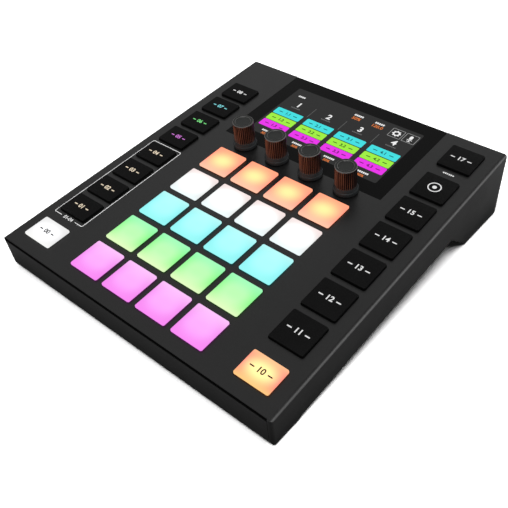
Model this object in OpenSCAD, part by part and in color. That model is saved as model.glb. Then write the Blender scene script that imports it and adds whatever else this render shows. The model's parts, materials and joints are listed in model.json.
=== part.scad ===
// Lighting control desk: a sloping sheet-metal case with lit pads, keys, four push encoders and a display.
// Pieces are drawn in the panel's own frame, then tilted and stood on their feet by on_slope().
// Panel frame: x to the right, y from the front edge to the rear edge, z out of the panel's top face.

/* [Case] */
// Slope of the panel, in degrees
tilt = 6.45; // [4:0.05:9]
// Height of the front wall below the panel's top face
front_h = 24; // [22.5:0.5:30]
// Depth of the slab behind the front foot
slab_h = 25; // [23.5:0.5:32]
// Thickness of the folded sheet
sheet_t = 1.5; // [1:0.1:2]
// Outer radius of the bends
bend_r = 2.2; // [2.1:0.1:2.8]
// Length of the front foot along the panel
foot_len = 21.5; // [18:0.5:26]
// Run of the small slanted step behind the front foot
step_len = 1.8; // [1.5:0.1:2.5]
// Length of the rear leg's sole along the panel
leg_len = 46; // [40:0.5:50]
// Run of the rear leg's slanted front along the panel
leg_run = 23.5; // [18:0.5:28]
// Radius of the cut corners along the lower edge of the sides
edge_r = 0.8; // [0.4:0.1:1.2]
// Gap between two sheets that meet
seam = 0.3; // [0.2:0.05:0.5]
// Bare panel in front of the first row of pads
front_margin = 10.6; // [9:0.1:16]
// Bare panel outside the side columns
side_margin = 10.35; // [9.5:0.05:16]
// Bare panel behind the rear key of the right column
rear_margin = 11.6; // [10:0.1:16]

/* [Pads and keys] */
// Side of a square pad or key
pad_size = 23.8; // [21:0.1:26]
// Panel left between two pads
pad_gap = 5.2; // [4:0.1:8]
// Depth of the short keys
short_d = 18.3; // [16:0.1:20]
// Panel left between two short keys
short_gap = 4.8; // [4:0.1:6]
// Panel between the front short key and the keys behind it
lit_gap = 10.8; // [9:0.1:14]
// Panel between the display's glass and a side column
column_gap = 11.1; // [9:0.1:16]
// Height of pads and keys above the panel
key_proud = 1.8; // [1.2:0.1:3]
// Travel of pads and keys
key_travel = 1.2; // [0.8:0.1:1.5]
// Gap between a key and its cut-out
key_gap = 0.35; // [0.25:0.05:0.6]
// Corner radius of a key
key_r = 1; // [0.6:0.1:2]
// Chamfer round the top of a key
key_chamfer = 0.5; // [0.2:0.1:0.8]
// Wall of a key
key_wall = 1.4; // [1:0.1:2]
// Width of the flange that keeps a key under the panel
flange_w = 0.9; // [0.6:0.1:1.2]
// Thickness of that flange
flange_t = 1; // [0.8:0.1:1.4]
// Diameter of a key's stem
stem_d = 4; // [3:0.1:5]

/* [Encoders] */
// Panel between the rear pads and the encoder axes
encoder_gap = 12.6; // [11.5:0.1:18]
// Diameter of the ribbed barrel of a knob
knob_d = 14.8; // [13:0.1:16]
// Diameter of the skirt of a knob
skirt_d = 17.1; // [15.5:0.1:19]
// Height of the skirt's straight wall
skirt_h = 2.7; // [2:0.1:4]
// Height of the skirt's cone
skirt_cone_h = 2.3; // [1.5:0.1:4]
// Height of the knob's top above the panel
knob_top = 20.9; // [17:0.1:26]
// Ribs round a knob
ribs = 32; // [24:2:48]
// Depth of the grooves between the ribs
rib_depth = 0.7; // [0.3:0.05:0.9]
// Height of the smooth band above the ribs
rim_h = 0.9; // [0.6:0.1:2]
// Width of the rim round the dish in a knob's top
rim_w = 2; // [1.2:0.1:3]
// Chamfer round a knob's top
knob_edge = 0.4; // [0.2:0.1:0.5]
// Depth of that dish
dish_depth = 0.5; // [0.3:0.1:1.5]
// Push travel of a knob
push_travel = 0.6; // [0.4:0.1:0.8]
// Diameter of the spindle
spindle_d = 6; // [5:0.1:6.5]
// Radial clearance of the spindle in its bush
spindle_gap = 0.06; // [0.03:0.01:0.1]
// Outer diameter of the bush
bush_d = 8; // [7.8:0.1:8.6]
// Width of an encoder body
encoder_w = 12; // [11.5:0.1:13]

/* [Display] */
// Width of the glass
glass_w = 134; // [120:0.5:140]
// Depth of the glass, to the panel's rear edge
glass_d = 86.9; // [80:0.1:95]
// Panel between the encoder axes and the glass
glass_gap = 5.1; // [4.5:0.1:9]
// Drop of the glass below the panel's top face
glass_drop = 0.1; // [0:0.05:0.3]
// Width of the display's lit area
screen_w = 111; // [95:0.5:112]
// Depth of the display's lit area
screen_d = 62.8; // [55:0.2:65]

/* [Inside] */
// Space between the cover and the main board
board_space = 7.5; // [7:0.1:9]
// Thickness of the main board
board_t = 1.6; // [1:0.2:2.4]
// Width of a switch body
switch_w = 12; // [10:0.5:14]
// Diameter of a standoff
standoff_d = 5; // [4.6:0.1:5.2]
// Diameter of the screws
screw_d = 3; // [2.5:0.1:3]
// Diameter of a screw's head
screw_head_d = 5.6; // [5:0.1:6.5]

/* [Rear and feet] */
// Distance between the two DMX sockets
dmx_pitch = 34; // [32:0.5:40]
// Width of a DMX socket's flange
dmx_w = 26; // [25:0.5:28]
// Height of a DMX socket's flange
dmx_h = 31; // [30:0.5:34]
// Thickness of that flange
dmx_flange_t = 2; // [1.5:0.1:3]
// Diameter of a DMX socket's barrel
dmx_d = 23.6; // [22.5:0.1:24]
// Drop of the DMX sockets' axes below the panel
dmx_drop = 30; // [28:0.5:33]
// Distance between the small sockets
socket_pitch = 22; // [16:0.5:26]
// Diameter of a rubber foot
foot_d = 12; // [8:0.5:14]
// Thickness of a rubber foot
foot_t = 1; // [0.8:0.1:2]

/* [Hidden] */
$fn = 48;
// How far joined shapes reach into each other
root = 0.5;
// How far cuts run past the faces that they open
spill = 1;
small_gap = 0.2;
turn_gap = 0.3;

// Plan of the panel
pad_pitch = pad_size + pad_gap;
pad_rows = 5;
pad_cols = 4;
rows_front = front_margin + pad_size / 2;
pads_rear = front_margin + pad_rows * pad_size + (pad_rows - 1) * pad_gap;
pads_half = pad_cols / 2 * pad_size + (pad_cols - 1) / 2 * pad_gap;
side_x = glass_w / 2 + column_gap + pad_size / 2;
case_w = 2 * (side_x + pad_size / 2 + side_margin);
encoder_y = pads_rear + encoder_gap;
glass_y = encoder_y + glass_gap;
case_d = glass_y + glass_d;
lit_y = front_margin + short_d / 2;
short_y = front_margin + short_d + lit_gap + short_d / 2;
short_pitch = short_d + short_gap;
short_keys = 8;
side_keys = 6;
tap_y = case_d - rear_margin - pad_size / 2;
function pad_x(c) = (c - (pad_cols + 1) / 2) * pad_pitch;
function row_y(r) = rows_front + (r - 1) * pad_pitch;

// Every key: name, centre, width, depth and colour
row_colours = ["#f6a5f4", "#baf8b4", "#a6f7f6", "#f7f7f7", "#f4c89b"];
black = "#141414";
pad_list = [for (r = [1:pad_rows]) for (c = [1:pad_cols])
    [str("pad_r", r, "c", c), pad_x(c), row_y(r), pad_size, row_colours[r - 1]]];
left_list = [for (i = [1:short_keys])
    [str("left_key_", i), -side_x, short_y + (i - 1) * short_pitch, short_d, black]];
right_list = [for (i = [1:side_keys]) [str("right_key_", i), side_x, row_y(i + 1), pad_size, black]];
other_list = [
    ["left_lit_key", -side_x, lit_y, short_d, "#f1f1f1"],
    ["right_lit_key", side_x, lit_y, short_d, "#f2cd92"],
    ["tap_key", side_x, tap_y, pad_size, black],
];
key_list = concat(pad_list, left_list, right_list, other_list);
key_names = [for (k = key_list) k[0]];

// Levels below the panel's top face
cover_under = -sheet_t;
flange_top = cover_under - turn_gap;
flange_base = flange_top - flange_t;
board_top = cover_under - board_space;
board_under = board_top - board_t;
floor_top = -slab_h + sheet_t;
switch_drop = 0.7;
stem_reach = 1.4;
switch_top = flange_base - key_travel - turn_gap - switch_drop;
stem_base = switch_top - stem_reach;
stem_bore_base = stem_base - key_travel - turn_gap;

// Front of the case: the strip in the gap between the panel and the front wall
return_w = bend_r + seam;
strip_lip = seam;
strip_gap = 0.1;
plate_front = 2 * strip_lip + strip_gap;
wall_top = -sheet_t - 2 * strip_lip;

// Encoder levels
knob_base = push_travel + turn_gap;
bush_top = knob_base + skirt_h;
rotor_inset = 1.5;
rotor_d = encoder_w - 2 * rotor_inset;
rotor_t = 1.6;
rotor_drop = 3;
rotor_top = cover_under - rotor_drop;
rotor_base = rotor_top - rotor_t;
spindle_base = rotor_base - turn_gap;
flat_depth = 1;
spindle_flat = spindle_d / 2 - flat_depth;
flat_top = rotor_top + push_travel + turn_gap;
rib_inset = 0.1;
// One rib and groove: shares of their turn, and of the groove's depth there
rib_profile = [[0, 0], [0.5, 0], [0.62, 1], [0.88, 1]];

// Sole of the case, in the panel frame, and where a panel-frame point lies once tilted
function sole_z(y) = -front_h - y * tan(tilt);
function world_y(y, z) = y * cos(tilt) - z * sin(tilt);
lift = front_h * cos(tilt) + foot_t;
front_most = world_y(0, wall_top);
rear_most = max(world_y(case_d, sole_z(case_d)), world_y(case_d + dmx_flange_t, -dmx_drop - dmx_h / 2));
mid_y = (front_most + rear_most) / 2;

// Reach of the cuts that clear the whole height of the case
deep = 2 * -sole_z(case_d);

// Folded outline of the underside, from the front wall's top edge to the rear wall's top edge
leg_y = case_d - leg_len;
fold_points = [
    [0, wall_top],
    [0, sole_z(0)],
    [foot_len, sole_z(foot_len)],
    [foot_len + step_len, -slab_h],
    [leg_y - leg_run, -slab_h],
    [leg_y, sole_z(leg_y)],
    [case_d, sole_z(case_d)],
    [case_d, cover_under - seam],
];

function unit(v) = v / norm(v);
function left_of(v) = [-v.y, v.x];
function bend(a, b, c, r, steps = 5) =
    let (u = unit(a - b), w = unit(c - b), half = acos(u * w) / 2)
    let (centre = b + unit(u + w) * r / sin(half), run = r / tan(half))
    [for (i = [0:steps])
        let (s = i / steps)
        centre + r * unit((b + u * run - centre) * (1 - s) + (b + w * run - centre) * s)];
function rounded(p, first_r, r) = [
    p[0],
    for (i = [1:len(p) - 2]) each bend(p[i - 1], p[i], p[i + 1], i == 1 ? first_r : r),
    p[len(p) - 1],
];
function normal_at(p, i) = left_of(unit(p[min(i, len(p) - 2) + 1] - p[min(i, len(p) - 2)]));
function shifted(p, d) = [
    for (i = [0:len(p) - 1])
        let (before = normal_at(p, max(i - 1, 0)), after = normal_at(p, i))
        let (mitre = unit(before + after))
        p[i] + mitre * d / (mitre * after)];
function backwards(p) = [for (i = [len(p) - 1:-1:0]) p[i]];
tray_path = rounded(fold_points, bend_r, bend_r);
side_path = rounded(fold_points, bend_r, edge_r);

// Main board
board_side_gap = 1.5;
board_front_gap = 4;
board_rear_gap = 1;
board_w = case_w - 2 * (sheet_t + board_side_gap);
board_front = sheet_t + board_front_gap;
board_rear = case_d - sheet_t - board_rear_gap;

// Standoffs: the inner six reach the floor, the outer four carry the board's rear wings
post_rows = [foot_len + pad_size / 2, row_y(3) + pad_pitch / 2, pads_rear];
post_x = (pads_half + side_x - pad_size / 2) / 2;
inner_posts = [for (s = [-1, 1]) for (y = post_rows) [s * post_x, y]];
outer_posts = [for (s = [-1, 1]) for (y = [glass_y + encoder_w, tap_y + pad_size / 4])
    [s * (board_w - standoff_d) / 2, y]];
post_bore_d = screw_d + 2 * spindle_gap;
hole_d = screw_d + 2 * small_gap;
screw_len = 8;
screw_head_h = 1.6;

// Rear sockets
power_inset = 38.75;
power_x = case_w / 2 - power_inset;
usb_x = power_x - socket_pitch;
dmx_list = [-dmx_pitch * 3 / 2, -dmx_pitch / 2];
power_w = 9;
power_h = 11;
power_nozzle_d = 8;
usb_w = 9;
usb_h = 3.4;
dmx_bore_d = 19.6;
dmx_barrel_len = 22;

// Shared shapes
module on_slope() {
    translate([0, -mid_y, lift]) rotate([tilt, 0, 0]) children();
}

module along_x(width) {
    rotate([90, 0, 90]) linear_extrude(width, center = true) children();
}

module along_y(y0, y1) {
    translate([0, y1, 0]) rotate([90, 0, 0]) linear_extrude(y1 - y0) children();
}

module round_rect(w, d, r) {
    square([w - 2 * r, d], center = true);
    square([w, d - 2 * r], center = true);
    for (sx = [-1, 1])
        for (sy = [-1, 1])
            translate([sx * (w / 2 - r), sy * (d / 2 - r)]) circle(r);
}

module round_block(w, d, z0, z1, r) {
    translate([0, 0, z0]) linear_extrude(z1 - z0) round_rect(w, d, r);
}

module rod(d, z0, z1) {
    translate([0, 0, z0]) cylinder(d = d, h = z1 - z0);
}

module chamfer_profile(w, z0, z1, c) {
    half = w / 2;
    polygon([[-half, z0], [half, z0], [half, z1 - c], [half - c, z1], [c - half, z1], [-half, z1 - c]]);
}

// Case
module hood(w, front, top, r) {
    intersection() {
        along_y(front, case_d + spill) {
            translate([-w / 2, -deep]) square([w, deep + top - r]);
            translate([-w / 2 + r, -deep]) square([w - 2 * r, deep + top]);
            for (s = [-1, 1])
                translate([s * (w / 2 - r), top - r]) circle(r);
        }
        translate([0, 0, -deep]) linear_extrude(2 * deep) {
            translate([-w / 2, front + r]) square([w, case_d]);
            translate([-w / 2 + r, front]) square([w - 2 * r, case_d]);
            for (s = [-1, 1])
                translate([s * (w / 2 - r), front + r]) circle(r);
        }
    }
}

module top_cover() {
    front_w = case_w - 2 * return_w;
    hole_r = key_r + key_gap;
    color("#323232") on_slope() difference() {
        intersection() {
            hood(case_w, 0, 0, bend_r);
            along_x(case_w + 2 * spill) polygon(concat([[0, spill]], side_path, [[case_d, spill]]));
        }
        hood(case_w - 2 * sheet_t, sheet_t, -sheet_t, bend_r - sheet_t);
        translate([-front_w / 2, -spill, -deep]) cube([front_w, spill + sheet_t + seam, deep - sheet_t]);
        translate([-front_w / 2, -spill, -deep]) cube([front_w, spill + plate_front, 2 * deep]);
        translate([-glass_w / 2 - small_gap, glass_y - small_gap, -slab_h / 2])
            cube([glass_w + 2 * small_gap, glass_d + spill, slab_h]);
        for (k = key_list)
            translate([k[1], k[2], 0])
                round_block(pad_size + 2 * key_gap, k[3] + 2 * key_gap, -2 * sheet_t, spill, hole_r);
        for (c = [1:pad_cols])
            translate([pad_x(c), encoder_y, 0]) rod(bush_d + 2 * small_gap, -2 * sheet_t, spill);
    }
}

module base_tray() {
    front_w = case_w - 2 * return_w - 2 * seam;
    inner_w = case_w - 2 * sheet_t - 2 * seam;
    spare = case_w;
    color("#2b2b2b") on_slope() difference() {
        along_x(inner_w) polygon(concat(tray_path, backwards(shifted(tray_path, sheet_t))));
        for (s = [-1, 1])
            translate([s * (front_w + spare) / 2, 0, 0])
                cube([spare, 2 * (sheet_t + seam), 2 * deep], center = true);
        for (p = inner_posts)
            translate([p.x, p.y, 0]) rod(hole_d, -slab_h - spill, floor_top + spill);
        for (x = dmx_list)
            at_rear(x, -dmx_drop) rod(dmx_d + 2 * small_gap, -2 * sheet_t, spill);
        at_rear(power_x, power_z()) rod(power_nozzle_d + 2 * small_gap, -2 * sheet_t, spill);
        at_rear(usb_x, usb_z())
            round_block(usb_w + 2 * small_gap, usb_h + 2 * small_gap, -2 * sheet_t, spill, usb_h / 2);
    }
}

module front_strip() {
    strip_w = case_w - 2 * return_w - 2 * strip_gap;
    foot_y = sheet_t - strip_gap;
    tread_z = -sheet_t - strip_gap;
    color("#080808") on_slope() along_x(strip_w) polygon([
        [strip_lip, wall_top],
        [foot_y, wall_top],
        [foot_y, tread_z],
        [2 * strip_lip, tread_z],
        [2 * strip_lip, -strip_lip],
        [strip_lip, -strip_lip],
    ]);
}

module rubber_feet() {
    foot_x = case_w / 2 - sheet_t - seam - foot_d;
    color("#0e0e0e") for (s = [-1, 1])
        for (y = [foot_len / 2, case_d - leg_len / 2])
            translate([s * foot_x, world_y(y, sole_z(y)) - mid_y, 0]) cylinder(d = foot_d, h = foot_t);
}

module case_screws() {
    color("#8a8a8a") on_slope() {
        for (p = inner_posts)
            translate([p.x, p.y, -slab_h]) screw();
        for (p = outer_posts)
            translate([p.x, p.y, board_under]) screw();
    }
}

module screw() {
    rod(screw_head_d, -screw_head_h, 0);
    rod(screw_d, -root, screw_len);
}

// Display
module display_glass() {
    color("#0a0a0a") on_slope() translate([-glass_w / 2, glass_y, -sheet_t])
        cube([glass_w, glass_d, sheet_t - glass_drop]);
}

module display_module() {
    lip = 6;
    lip_t = 1.2;
    border = 5;
    back_gap = 1;
    body_d = screen_d + 2 * border;
    mid = glass_y + glass_d / 2;
    color("#3c3f42") on_slope() {
        translate([-glass_w / 2 - lip, mid - body_d / 2, cover_under - lip_t])
            cube([glass_w + 2 * lip, body_d, lip_t]);
        translate([-screen_w / 2 - border, mid - body_d / 2, board_top + back_gap])
            cube([screen_w + 2 * border, body_d, board_space - back_gap]);
    }
}

// Electronics
module main_board() {
    color("#1f4a2c") on_slope() difference() {
        translate([-board_w / 2, board_front, board_under])
            cube([board_w, board_rear - board_front, board_t]);
        for (p = concat(inner_posts, outer_posts))
            translate([p.x, p.y, 0]) rod(hole_d, board_under - spill, board_top + spill);
    }
}

module board_standoffs() {
    stud_len = 3;
    post_cap = 1;
    color("#b08d3c") on_slope() {
        for (p = concat(inner_posts, outer_posts))
            translate([p.x, p.y, 0]) difference() {
                rod(standoff_d, board_top, cover_under);
                rod(post_bore_d, board_top - spill, cover_under - post_cap);
            }
        for (p = inner_posts)
            translate([p.x, p.y, 0]) difference() {
                union() {
                    rod(standoff_d, floor_top, board_under);
                    rod(screw_d, board_under - root, board_top + stud_len);
                }
                rod(post_bore_d, floor_top - spill, floor_top + screw_len);
            }
    }
}

module key_switches() {
    color("#22252a") on_slope() for (k = key_list)
        translate([k[1], k[2], 0]) difference() {
            translate([-switch_w / 2, -switch_w / 2, board_top])
                cube([switch_w, switch_w, switch_top - board_top]);
            rod(stem_d + 2 * small_gap, stem_bore_base, switch_top + spill);
        }
}

module encoder_bodies() {
    color("#8c8f93") on_slope() for (c = [1:pad_cols])
        translate([pad_x(c), encoder_y, 0]) difference() {
            union() {
                translate([-encoder_w / 2, -encoder_w / 2, board_top])
                    cube([encoder_w, encoder_w, board_space]);
                rod(bush_d, cover_under - root, bush_top);
            }
            rod(spindle_d + 2 * spindle_gap, spindle_base - push_travel - turn_gap, bush_top + spill);
            rod(rotor_d + 2 * turn_gap, rotor_base - turn_gap, rotor_top + turn_gap);
        }
}

module spindle_section(d, flat) {
    difference() {
        circle(d = d);
        translate([flat, -d]) square([d, 2 * d]);
    }
}

module encoder_rotor(c) {
    color("#c9c9c9") on_slope() translate([pad_x(c), encoder_y, rotor_base])
        linear_extrude(rotor_t) difference() {
            circle(d = rotor_d);
            spindle_section(spindle_d + 2 * spindle_gap, spindle_flat + spindle_gap);
        }
}

// Controls
module knob(c) {
    cone_base = knob_base + skirt_h;
    barrel_base = cone_base + skirt_cone_h;
    rim_base = knob_top - rim_h;
    rib_r = knob_d / 2 - rib_inset;
    step = 360 / ribs;
    hollow_top = bush_top + push_travel + turn_gap;
    color("#1c1a1a") on_slope() translate([pad_x(c), encoder_y, 0]) {
        difference() {
            union() {
                rod(skirt_d, knob_base, cone_base);
                translate([0, 0, cone_base]) cylinder(d1 = skirt_d, d2 = knob_d, h = skirt_cone_h);
                translate([0, 0, barrel_base - root]) linear_extrude(rim_base - barrel_base + 2 * root)
                    polygon([for (i = [0:ribs - 1]) for (k = rib_profile)
                        let (r = rib_r - rib_depth * k[1], a = (i + k[0]) * step)
                        [r * cos(a), r * sin(a)]]);
                rod(knob_d, rim_base, knob_top - knob_edge);
                translate([0, 0, knob_top - knob_edge])
                    cylinder(d1 = knob_d, d2 = knob_d - 2 * knob_edge, h = knob_edge);
            }
            rod(knob_d - 2 * rim_w, knob_top - dish_depth, knob_top + spill);
            rod(bush_d + 2 * turn_gap, knob_base - spill, hollow_top);
        }
        difference() {
            rod(spindle_d, spindle_base, hollow_top + root);
            translate([spindle_flat, -spindle_d, spindle_base - spill])
                cube([spindle_d, 2 * spindle_d, flat_top + spill - spindle_base]);
        }
    }
}

module key(k) {
    w = pad_size;
    d = k[3];
    over = key_gap + flange_w;
    roof = key_proud - key_wall;
    color(k[4]) on_slope() translate([k[1], k[2], 0]) {
        difference() {
            union() {
                intersection() {
                    round_block(w, d, flange_base, key_proud, key_r);
                    along_y(-d, d) chamfer_profile(w, flange_base, key_proud, key_chamfer);
                    along_x(2 * w) chamfer_profile(d, flange_base, key_proud, key_chamfer);
                }
                round_block(w + 2 * over, d + 2 * over, flange_base, flange_top, key_r);
            }
            round_block(w - 2 * key_wall, d - 2 * key_wall, flange_base - spill, roof, key_r);
        }
        rod(stem_d, stem_base, roof + root);
    }
}

// Rear sockets
module at_rear(x, z) {
    translate([x, case_d, z]) rotate([-90, 0, 0]) children();
}
function power_z() = board_under - power_h / 2;
function usb_z() = board_under - usb_h / 2;

module dmx_shells() {
    corner_r = 3;
    color("#2e3033") on_slope() for (x = dmx_list)
        at_rear(x, -dmx_drop) difference() {
            union() {
                round_block(dmx_w, dmx_h, 0, dmx_flange_t, corner_r);
                rod(dmx_d, -dmx_barrel_len, dmx_flange_t);
            }
            rod(dmx_bore_d, -dmx_barrel_len - spill, dmx_flange_t + spill);
        }
}

module dmx_inserts() {
    core_d = 15.6;
    groove_depth = 11;
    contact_d = 2.6;
    contact_r = 4;
    contact_depth = 10;
    base_top = dmx_flange_t - groove_depth;
    color("#1b1c1e") on_slope() for (x = dmx_list)
        at_rear(x, -dmx_drop) difference() {
            union() {
                rod(dmx_bore_d - 2 * spindle_gap, -dmx_barrel_len, base_top);
                rod(core_d, base_top - root, dmx_flange_t);
            }
            for (a = [30, 150, 270])
                rotate(a) translate([contact_r, 0, 0])
                    rod(contact_d, dmx_flange_t - contact_depth, dmx_flange_t + spill);
        }
}

module usb_socket() {
    shell = 0.4;
    inner_r = usb_h / 2 - 2 * shell;
    depth = 9;
    back_t = 2;
    tongue_w = 6.6;
    tongue_h = 0.7;
    tongue_inset = 1;
    color("#a9abad") on_slope() at_rear(usb_x, usb_z()) {
        difference() {
            round_block(usb_w, usb_h, -depth, 0, usb_h / 2 - shell);
            round_block(usb_w - 2 * shell, usb_h - 2 * shell, back_t - depth, spill, inner_r);
        }
        translate([-tongue_w / 2, -tongue_h / 2, back_t / 2 - depth])
            cube([tongue_w, tongue_h, depth - back_t / 2 - tongue_inset]);
    }
}

module power_socket() {
    body_depth = 14;
    bore_d = 6.2;
    bore_depth = 10;
    pin_d = 2;
    pin_inset = 1;
    color("#161616") on_slope() at_rear(power_x, power_z()) {
        difference() {
            union() {
                translate([-power_w / 2, -power_h / 2, -body_depth])
                    cube([power_w, power_h, body_depth - sheet_t - small_gap]);
                rod(power_nozzle_d, -sheet_t - small_gap - root, 0);
            }
            rod(bore_d, -bore_depth, spill);
        }
        rod(pin_d, -bore_depth - root, -pin_inset);
    }
}

top_cover();
base_tray();
front_strip();
display_glass();
display_module();
main_board();
board_standoffs();
key_switches();
encoder_bodies();
dmx_shells();
dmx_inserts();
usb_socket();
power_socket();
rubber_feet();
case_screws();
for (c = [1:pad_cols]) {
    encoder_rotor(c);
    knob(c);
}
for (k = key_list)
    key(k);
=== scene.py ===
import json
import math

import bmesh
import bpy
from mathutils import Matrix, Vector


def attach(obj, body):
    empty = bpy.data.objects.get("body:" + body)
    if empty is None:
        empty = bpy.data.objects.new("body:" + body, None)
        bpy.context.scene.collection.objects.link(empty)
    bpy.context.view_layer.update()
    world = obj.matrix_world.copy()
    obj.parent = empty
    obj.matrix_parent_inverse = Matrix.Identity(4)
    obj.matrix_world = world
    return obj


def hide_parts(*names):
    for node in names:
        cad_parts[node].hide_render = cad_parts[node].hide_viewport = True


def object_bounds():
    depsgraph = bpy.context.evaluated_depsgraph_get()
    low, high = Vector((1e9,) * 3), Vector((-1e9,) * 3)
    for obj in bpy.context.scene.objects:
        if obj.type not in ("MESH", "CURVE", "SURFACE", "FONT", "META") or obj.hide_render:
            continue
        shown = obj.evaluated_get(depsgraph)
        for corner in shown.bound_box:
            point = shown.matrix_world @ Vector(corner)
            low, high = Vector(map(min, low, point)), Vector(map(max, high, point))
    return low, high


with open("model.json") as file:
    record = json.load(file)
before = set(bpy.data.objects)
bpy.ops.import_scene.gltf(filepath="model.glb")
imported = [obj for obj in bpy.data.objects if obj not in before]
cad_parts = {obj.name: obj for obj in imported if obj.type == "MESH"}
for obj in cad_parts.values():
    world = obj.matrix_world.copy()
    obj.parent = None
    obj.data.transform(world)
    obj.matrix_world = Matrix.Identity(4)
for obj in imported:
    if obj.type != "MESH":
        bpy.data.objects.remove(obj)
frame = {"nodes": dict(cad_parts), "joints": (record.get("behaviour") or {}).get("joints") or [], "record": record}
cadLow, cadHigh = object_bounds()
nodes = frame["nodes"]
scene = bpy.context.scene
mm = 0.001

# The panel's own axes: their slope comes from a key's press, their corner from the cover
pressAxis = Vector(next(j["axis"] for j in frame["joints"] if j["name"] == "tap_key_press"))
slope = Matrix.Rotation(math.atan2(pressAxis.y, -pressAxis.z), 4, "X")


def slopeBox(node):
    level = slope.inverted()
    spots = [level @ v.co for v in nodes[node].data.vertices]
    low = Vector(min(s[i] for s in spots) for i in range(3))
    high = Vector(max(s[i] for s in spots) for i in range(3))
    return low, high


coverLow, coverHigh = slopeBox("top_cover")
panelCorner = Vector((0, coverLow.y, coverHigh.z))
panelPlace = slope @ Matrix.Translation(panelCorner) @ Matrix.Scale(mm, 4)
toPanel = panelPlace.inverted()


def panelBox(node):  # a node's corners on the panel's axes, in millimetres
    low, high = slopeBox(node)
    return (low - panelCorner) / mm, (high - panelCorner) / mm


# Camera and studio
photoView = {
    "place": (0.238135, -0.285840, 0.309454),
    "turn": (49.024, 0.03, 39.585),  # degrees
    "lens": 48.75,
    "sensor": 36,
    "shift": (-0.0236, -0.0032),
    "nearest": 0.01,
}
studio = {
    "floorSide": 2.4,
    # The floor by distance from the part. The camera sees it over-exposed, so only deep shade shows
    "floorTone": ((0.15, 1.7), (0.6, 6.0)),
    "floorShade": ((-0.01, 0.0), (0.01, 0.2), (0.06, 0.33)),  # as the part sees it: a painted shade, darkest at the part
    "frontFoot": {"behind": 0.0044, "ends": 0.008, "tone": 0.52, "reach": 0.011},  # a contact shade painted on the floor along the front wall's foot
    "airTone": (0.0, 0.03),  # at the horizon, and overhead
    "airRise": 0.6,
    "lamps": {  # place, side and watts
        "overhead": ((0.36, -0.8, 1.95), 1.1, 43),
        "ceiling": ((0, 0, 1.5), 4.0, 12),
        "rearSoftbox": ((-0.74, 0.74, 1.15), 1.8, 5.4),
        "edgeLamp": ((1.15, 0.85, 0.66), 1.3, 10),
        "rearFill": ((0.1, 1.9, 0.36), 0.8, 7),
        "leftFill": ((-1.9, -0.2, 0.3), 0.7, 9),
        "frontLeft": ((-1.2, -1.5, 0.95), 1.8, 4),
        "frontRight": ((1.2, -1.5, 0.95), 1.8, 4),
    },
    "lightFloor": ("overhead", "rearSoftbox"),  # the other lamps light only the part
}


def aimAt(thing, target):
    away = Vector(thing.location) - Vector(target)
    thing.rotation_euler = away.to_track_quat("Z", "Y").to_euler()


def setCamera():
    lens = bpy.data.cameras.new("photoView")
    lens.lens = photoView["lens"]
    lens.sensor_width = photoView["sensor"]
    lens.shift_x, lens.shift_y = photoView["shift"]
    lens.clip_start = photoView["nearest"]
    camera = bpy.data.objects.new("photoView", lens)
    camera.location = photoView["place"]
    camera.rotation_euler = [math.radians(a) for a in photoView["turn"]]
    scene.collection.objects.link(camera)
    scene.camera = camera


def addLamp(name, place, side, watts):
    lamp = bpy.data.lights.new(name, "AREA")
    lamp.shape = "SQUARE"
    lamp.size = side
    lamp.energy = watts
    holder = bpy.data.objects.new(name, lamp)
    holder.location = place
    aimAt(holder, (0, 0, 0))
    scene.collection.objects.link(holder)


def distanceFrom(tree, spot, low, high):  # how far a point of the floor lies outside a rectangle
    centred = tree.nodes.new("ShaderNodeVectorMath")
    centred.operation = "SUBTRACT"
    centred.inputs[1].default_value = (low + high) / 2
    folded = tree.nodes.new("ShaderNodeVectorMath")
    folded.operation = "ABSOLUTE"
    outside = tree.nodes.new("ShaderNodeVectorMath")
    outside.operation = "SUBTRACT"
    outside.inputs[1].default_value = (high - low) / 2
    split = tree.nodes.new("ShaderNodeSeparateXYZ")
    further = tree.nodes.new("ShaderNodeMath")
    further.operation = "MAXIMUM"
    join = tree.links.new
    join(spot, centred.inputs[0])
    join(centred.outputs["Vector"], folded.inputs[0])
    join(folded.outputs["Vector"], outside.inputs[0])
    join(outside.outputs["Vector"], split.inputs["Vector"])
    join(split.outputs["X"], further.inputs[0])
    join(split.outputs["Y"], further.inputs[1])
    return further.outputs["Value"]


def mapOver(tree, value, start, end):  # start and end are pairs of a value and what it becomes
    ramp = tree.nodes.new("ShaderNodeMapRange")
    ramp.inputs["From Min"].default_value, ramp.inputs["To Min"].default_value = start
    ramp.inputs["From Max"].default_value, ramp.inputs["To Max"].default_value = end
    tree.links.new(value, ramp.inputs["Value"])
    return ramp.outputs["Result"]


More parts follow.
